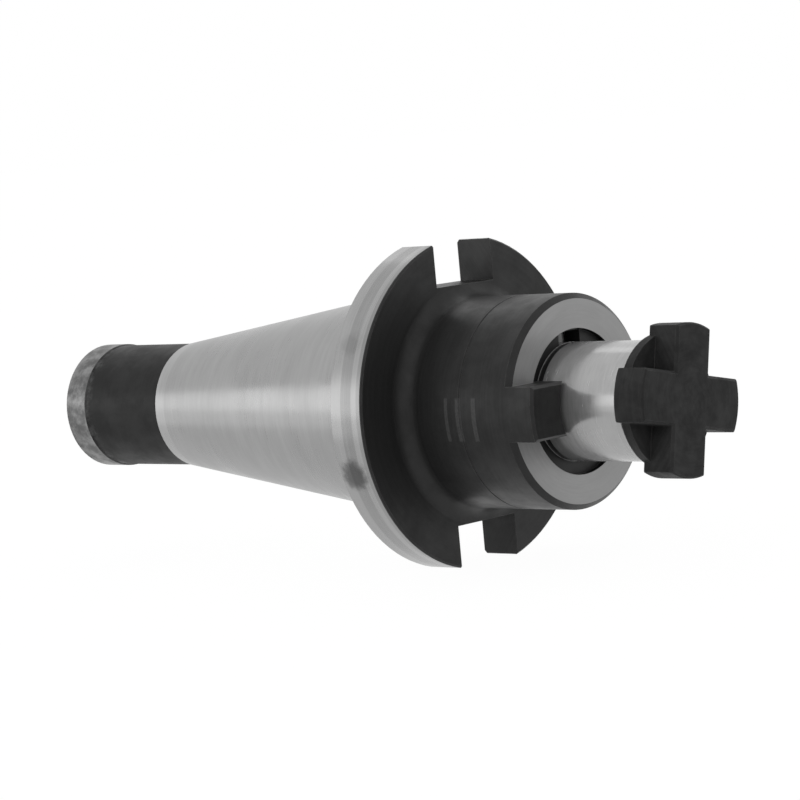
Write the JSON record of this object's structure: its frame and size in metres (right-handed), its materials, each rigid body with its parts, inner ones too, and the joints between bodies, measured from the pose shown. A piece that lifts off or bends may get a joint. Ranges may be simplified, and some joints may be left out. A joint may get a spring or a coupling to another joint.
{
  "type": "shell mill holder",
  "caption": "Steep taper shell mill holder with drive flange, keyed drive ring with lugs on a pilot, and a cross-head cutter screw.",
  "frame": {"origin": "centre of the taper's gauge plane, where the taper is 44.45 mm across", "axes": "+X along the tool axis towards the cutter, +Z through the middle of a drive slot, +Y through a drive lug"},
  "size_m": [0.155, 0.063, 0.061],
  "materials": {
    "ground_steel": "ground, with black oxide on the flange front and collar",
    "black_steel": "black oxide, front face ground bright",
    "key_steel": "drawn, dulled by oil",
    "black_screw_steel": "black oxide"
  },
  "bodies": {
    "holder": {"holder_body": "ground_steel", "feather_key": "key_steel"},
    "ring": {"drive_ring": "black_steel"},
    "screw": {"cutter_screw": "black_screw_steel"}
  },
  "joints": [
    {"name": "screw_travel", "type": "slide", "parent": "holder", "child": "screw", "axis": [1, 0, 0], "range_m": [0, 0.065]},
    {"name": "ring_slide", "type": "slide", "parent": "holder", "child": "ring", "axis": [1, 0, 0], "range_m": [0, 0.013]}
  ]
}
